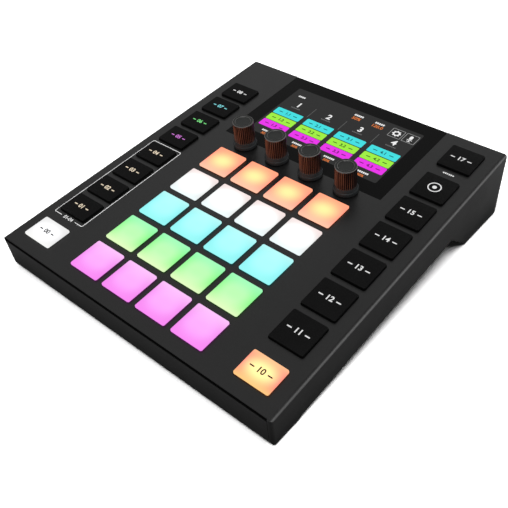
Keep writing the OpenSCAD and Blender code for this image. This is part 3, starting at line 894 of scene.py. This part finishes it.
def shapeRibs(bm, verts, inwards):
    profile = knobShape["ribProfile"]
    turn = 2 * math.pi / (knobShape["ribs"] * len(profile))
    for place, share in enumerate(profile):
        column = [v for v in verts if round(math.atan2(v.co.y, v.co.x) / turn) % len(profile) == place]
        factor = 1 - share * knobShape["ribDepth"] / knobShape["barrel"]
        factor = factor if inwards else 1 / factor
        bmesh.ops.scale(bm, vec=(factor, factor, 1), verts=column)


def latheAlong(bm, ring, start, path):
    radius, level = start
    for nextRadius, nextLevel in path:
        ring = liftRing(bm, ring, nextRadius / radius, nextLevel - level)[0]
        radius, level = nextRadius, nextLevel
    return ring


def knobFinish(face, top):
    k = knobShape
    spot = face.calc_center_median()
    radius, rimBase = spot.xy.length, top - k["rimHeight"]
    points = len(k["ribProfile"])
    across = math.atan2(spot.y, spot.x) * k["ribs"] * points / (2 * math.pi) % points
    if spot.z < k["coneSteps"][-1][1]:
        return "knobSkirt"
    if spot.z < rimBase:
        return "knobGroove" if k["groove"][0] < across < k["groove"][1] else "knobRubber"
    # Faces round the rim's outer edge and at the dish's edge take the painted highlight
    if top - k["edgeHeight"] < spot.z < top - tolerance["level"]:
        if radius > k["edgeInside"] or spot.z > top - k["dishEdge"]:
            return "knobEdgeHighlight"
    return "knobCap" if radius < k["capRadius"] else "knobRubber"


def makeKnob(number):
    node = f"knob_{number}"
    low, high = panelBox(node)
    middle = (low + high) / 2
    skirt, top = (high.x - low.x) / 2, high.z
    k = knobShape
    bm = bmesh.new()
    points = k["ribs"] * len(k["ribProfile"])
    start = bmesh.ops.create_circle(bm, cap_ends=True, segments=points, radius=k["spindleTip"])["verts"]
    bmesh.ops.translate(bm, vec=(0, 0, low.z), verts=start)
    lower = [
        (k["spindleTip"], k["tipTop"]),
        (k["spindle"], k["tipTop"]),
        (k["spindle"], k["boreTop"]),
        (k["bore"], k["boreTop"]),
        (k["bore"], k["skirtBase"]),
    ]
    lower += [(skirt + out, level) for out, level in k["skirtSteps"]]
    lower += [(k["barrel"] + out, level) for out, level in k["coneSteps"]]
    ring = latheAlong(bm, edgesOf(start), (k["spindleTip"], low.z), lower)
    coneTop, rimBase, runOut = lower[-1][1], top - k["rimHeight"], k["ribRunOut"]
    ring, verts = liftRing(bm, ring, 1, runOut)
    shapeRibs(bm, verts, True)
    ring, verts = liftRing(bm, ring, 1, rimBase - coneTop - 2 * runOut)
    ring, verts = liftRing(bm, ring, 1, runOut)
    shapeRibs(bm, verts, False)
    head = [(k["barrel"] + out, top + up) for out, up in k["rimSteps"] + k["dishSteps"]]
    ring = latheAlong(bm, ring, (k["barrel"], rimBase), head)
    bmesh.ops.holes_fill(bm, edges=ring, sides=0)
    for face in bm.faces:
        face.material_index = knobFinishes.index(knobFinish(face, top))
    bmesh.ops.translate(bm, vec=(middle.x, middle.y, 0), verts=bm.verts)
    makePiece("grip_" + node, bm, knobFinishes, node, stands=node)


for number in range(1, 5):
    makeKnob(number)
print("knobs made")

# Printed outline round the four front keys of the left column, open at the front for their figures
outlineShape = {
    "wide": 28.3, "front": 36.5, "rear": 129.8, "corner": 1.2, "line": 0.55, "thick": 0.03,
    "gap": 13.5, "frontZone": 2.0, "figures": "01-04", "figureHeight": 2.6, "bold": 0.08,
}
tapLabel = {"dashes": (6, 1.0, 1.3, 0.4), "ahead": 3.4}  # count, width, depth and gap


def makeOutline():
    o = outlineShape
    low, high = panelBox("left_key_1")
    x, y = (low.x + high.x) / 2, (o["front"] + o["rear"]) / 2
    zoneEnd = o["front"] + o["frontZone"]
    bm = bmesh.new()
    addLineFrame(bm, o["wide"], o["rear"] - o["front"], o["corner"], o["line"], x, y, 0, o["thick"])
    for side in (-1, 1):
        front = [f for f in bm.faces if all(v.co.y < zoneEnd for v in f.verts)]
        bmesh.ops.bisect_plane(
            bm, geom=list(dict.fromkeys(g for f in front for g in (f, *f.edges, *f.verts))),
            dist=tolerance["cut"], plane_co=(x + side * o["gap"] / 2, 0, 0), plane_no=(1, 0, 0),
        )
    halfGap = o["gap"] / 2 - tolerance["weld"]
    spots = [(f, f.calc_center_median()) for f in bm.faces]
    opened = [f for f, spot in spots if abs(spot.x - x) < halfGap and spot.y < zoneEnd]
    bmesh.ops.delete(bm, geom=opened, context="FACES")
    bmesh.ops.holes_fill(bm, edges=[e for e in bm.edges if e.is_boundary], sides=0)
    y = o["front"] + o["line"] / 2
    addWords(bm, o["figures"], o["figureHeight"], x, y, 0, o["thick"], o["bold"])
    low, high = panelBox("tap_key")
    x, y = (low.x + high.x) / 2, low.y - tapLabel["ahead"]
    addDashes(bm, *tapLabel["dashes"], x, y, 0, o["thick"])
    makePiece("panel_outline", bm, "inkWhite", "case")


makeOutline()
print("outline printed")

# Display: what it shows lies on the glass, placed from the middle of the lit area
screenShape = {
    "wide": 111.0, "deep": 62.8, "corner": 1.2, "cornerSteps": 4, "thick": 0.02,
    "columns": (-41.7, -13.7, 14.2, 42.3),
    "bars": {"wide": 23.8, "deep": 7.9, "corner": 0.9, "cornerSteps": 3, "figure": 2.8, "dash": 3.4},
    "barRows": (
        ("screenCyan", "textTeal", -1.35),
        ("screenLime", "textGreen", -10.05),
        ("screenMagenta", "textPurple", -18.45),
    ),
    # Dashes are a count, a width, a depth and a gap
    "title": {"dashes": (4, 1.2, 1.7, 0.4), "x": -46.6, "y": 22.55},
    "heads": {"height": 5.4, "bold": 0.24, "y": 12.35},
    "subs": {"dashes": (7, 0.85, 1.1, 0.35), "y": 7.75},
    "labels": {"dashes": (6, 1.1, 1.7, 0.4), "y": -26.65},
    "values": {"text": "50%", "height": 2.2, "bold": 0.07, "y": -30.0},
    "rules": {"x": (-27.7, 0.3, 28.2), "y": 9.5, "wide": 0.35, "deep": 12.0},
    "readouts": {
        "texts": ((4.0, "50%"), (22.0, "120.0")), "height": 3.0, "bold": 0.1, "y": 21.95,
        "dashes": (5, 1.2, 1.9, 0.4), "dashY": 25.95,
    },
    "icons": {"x": (38.0, 49.4), "y": 22.75, "side": 10.2, "corner": 0.6, "line": 0.4},
}
gearShape = {"radius": 3.4, "tooth": 0.8, "teeth": 8, "ring": 1.15}
microphoneShape = {  # each is a width, a depth and a place; those with a corner are rounded
    "capsule": (2.4, 4.2, 1.2, {"corner": 1.15, "steps": 5}),
    "stand": (0.6, 1.6, -2.6, None),
    "foot": (2.6, 0.6, -3.4, None),
    "cup": (4.2, 0.6, -1.6, {"corner": 0.25, "steps": 2}),
}


def makeScreen():
    s = screenShape
    low, high = panelBox("display_glass")
    middle, glassTop, thick = (low.y + high.y) / 2, high.z, s["thick"]
    bm = bmesh.new()
    plate = block(bm, s["wide"], s["deep"], glassTop, glassTop + thick, 0, middle)
    roundEdges(bm, uprightsOf(plate), s["corner"], s["cornerSteps"])
    makePiece("screen_area", bm, "screenDark", "case")
    makeScreenBars(middle, glassTop + thick, thick)
    makeScreenMarks(middle, glassTop + thick, thick)


def makeScreenBars(middle, level, thick):
    bars = screenShape["bars"]
    for row, (finish, ink, y) in enumerate(screenShape["barRows"], 1):
        bm, figures = bmesh.new(), bmesh.new()
        for column, x in enumerate(screenShape["columns"], 1):
            bar = block(bm, bars["wide"], bars["deep"], level, level + thick, x, middle + y)
            roundEdges(bm, uprightsOf(bar), bars["corner"], bars["cornerSteps"])
            figure = f"{column}.{row}"
            addLegend(figures, figure, bars["figure"], bars["dash"], x, middle + y, level + thick, thick)
        makePiece(f"screen_bars_{row}", bm, finish, "case")
        makePiece(f"screen_figures_{row}", figures, ink, "case")


def makeScreenMarks(middle, level, thick):
    s = screenShape
    heads, subs, labels, values = s["heads"], s["subs"], s["labels"], s["values"]
    white, orange, lines, frames = (bmesh.new() for kind in range(4))
    for column, x in enumerate(s["columns"], 1):
        addWords(white, str(column), heads["height"], x, middle + heads["y"], level, thick, heads["bold"])
        addDashes(lines, *subs["dashes"], x, middle + subs["y"], level, thick)
        addDashes(white, *labels["dashes"], x, middle + labels["y"], level, thick)
        y = middle + values["y"]
        addWords(orange, values["text"], values["height"], x, y, level, thick, values["bold"])
    rules, title, readouts, icons = s["rules"], s["title"], s["readouts"], s["icons"]
    for x in rules["x"]:
        block(lines, rules["wide"], rules["deep"], level, level + thick, x, middle + rules["y"])
    addDashes(white, *title["dashes"], title["x"], middle + title["y"], level, thick)
    for x, text in readouts["texts"]:
        addDashes(white, *readouts["dashes"], x, middle + readouts["dashY"], level, thick)
        y = middle + readouts["y"]
        addWords(orange, text, readouts["height"], x, y, level, thick, readouts["bold"])
    side, y = icons["side"], middle + icons["y"]
    for x in icons["x"]:
        addLineFrame(frames, side, side, icons["corner"], icons["line"], x, y, level, thick)
    addGear(white, icons["x"][0], y, level, thick)
    addMicrophone(white, icons["x"][1], y, level, thick)
    makePiece("screen_white", white, "screenWhite", "case")
    makePiece("screen_orange", orange, "screenOrange", "case")
    makePiece("screen_lines", lines, "screenLine", "case")
    makePiece("screen_frames", frames, "screenGrey", "case")


def gapsOf(verts, teeth):  # a circle has four points to a tooth, the last two of them in the gap
    turn = 2 * math.pi / (teeth * 4)
    return [v for v in verts if round(math.atan2(v.co.y, v.co.x) / turn) % 4 in (2, 3)]


def addGear(bm, x, y, level, thick):
    g = gearShape
    disc = bmesh.ops.create_circle(bm, cap_ends=True, segments=g["teeth"] * 4, radius=g["radius"])["verts"]
    shrink = 1 - g["tooth"] / g["radius"]
    bmesh.ops.scale(bm, vec=(shrink, shrink, 1), verts=gapsOf(disc, g["teeth"]))
    bmesh.ops.translate(bm, vec=(x, y, level), verts=disc)
    hollowOut(bm, disc[0].link_faces[0], g["ring"], thick)


def addMicrophone(bm, x, y, level, thick):
    for wide, deep, place, rounding in microphoneShape.values():
        part = block(bm, wide, deep, level, level + thick, x, y + place)
        if rounding:
            roundEdges(bm, uprightsOf(part), rounding["corner"], rounding["steps"])


makeScreen()
print("display made")

# Screw heads with a six-lobed recess: on the sockets' flanges, and over the plain heads under the tray
screwShape = {
    "rise": 1.1, "edge": 0.5, "edgeSteps": 3, "star": 1.45, "starDepth": 0.8, "lobes": 6, "lobeDepth": 0.25,
}
flangeScrews = {"radius": 2.5, "across": 19.0, "upright": 24.0}  # one at each of two opposite corners
trayScrews = {"radius": 2.8, "apart": 7.0, "rimDepth": 0.01}


def screwHead(radius):
    s = screwShape
    bm = bmesh.new()
    bmesh.ops.create_cone(
        bm, cap_ends=True, segments=s["lobes"] * 4, radius1=radius, radius2=radius, depth=s["rise"]
    )
    bmesh.ops.translate(bm, vec=(0, 0, s["rise"] / 2), verts=bm.verts)
    upper = max(bm.faces, key=lambda f: f.calc_center_median().z)
    roundEdges(bm, upper.edges[:], s["edge"], s["edgeSteps"])
    upper = max(bm.faces, key=lambda f: f.calc_center_median().z)
    flat = upper.verts[0].co.xy.length
    bmesh.ops.inset_region(bm, faces=[upper], thickness=flat - s["star"], use_even_offset=True)
    shrink = 1 - s["lobeDepth"]
    bmesh.ops.scale(bm, vec=(shrink, shrink, 1), verts=gapsOf(upper.verts, s["lobes"]))
    well = bmesh.ops.extrude_discrete_faces(bm, faces=[upper])["faces"][0]
    bmesh.ops.translate(bm, vec=(0, 0, -s["starDepth"]), verts=well.verts)
    head = bpy.data.meshes.new("screwHead")
    bm.to_mesh(head)
    bm.free()
    return head


def makeScrews(name, radius, places, finish):
    head = screwHead(radius)
    bm = bmesh.new()
    for place in places:
        copied = head.copy()
        copied.transform(place)
        bm.from_mesh(copied)
        bpy.data.meshes.remove(copied)
    bpy.data.meshes.remove(head)
    makePiece(name, bm, finish, "case")


def flangePlaces():
    outer = panelBox("dmx_shells")[1].y
    facing = Matrix.Rotation(math.radians(-90), 4, "X")
    for mount in frame["record"]["mounts"]:
        if mount["name"].startswith("dmx_out"):
            middle = toPanel @ Vector(mount["pos_m"])
            for side in (-1, 1):
                spot = (
                    middle.x + side * flangeScrews["across"] / 2,
                    outer,
                    middle.z + side * flangeScrews["upright"] / 2,
                )
                yield Matrix.Translation(spot) @ facing


def trayPlaces():
    spots = [toPanel @ v.co for v in nodes["case_screws"].data.vertices]
    lowest = min(s.z for s in spots)
    facing = Matrix.Rotation(math.pi, 4, "X")
    heads = {}
    for spot in spots:
        if spot.z < lowest + trayScrews["rimDepth"]:  # the rims of the heads, a group for each
            near = next((k for k in heads if (Vector(k) - spot.xy).length < trayScrews["apart"]), None)
            heads.setdefault(near or tuple(spot.xy), []).append(spot)
    for rim in heads.values():
        x = (min(s.x for s in rim) + max(s.x for s in rim)) / 2
        y = (min(s.y for s in rim) + max(s.y for s in rim)) / 2
        yield Matrix.Translation((x, y, lowest)) @ facing


makeScrews("flange_screws", flangeScrews["radius"], flangePlaces(), "blackSteel")
makeScrews("tray_screw_heads", trayScrews["radius"], trayPlaces(), "screwSteel")
print("screws made")
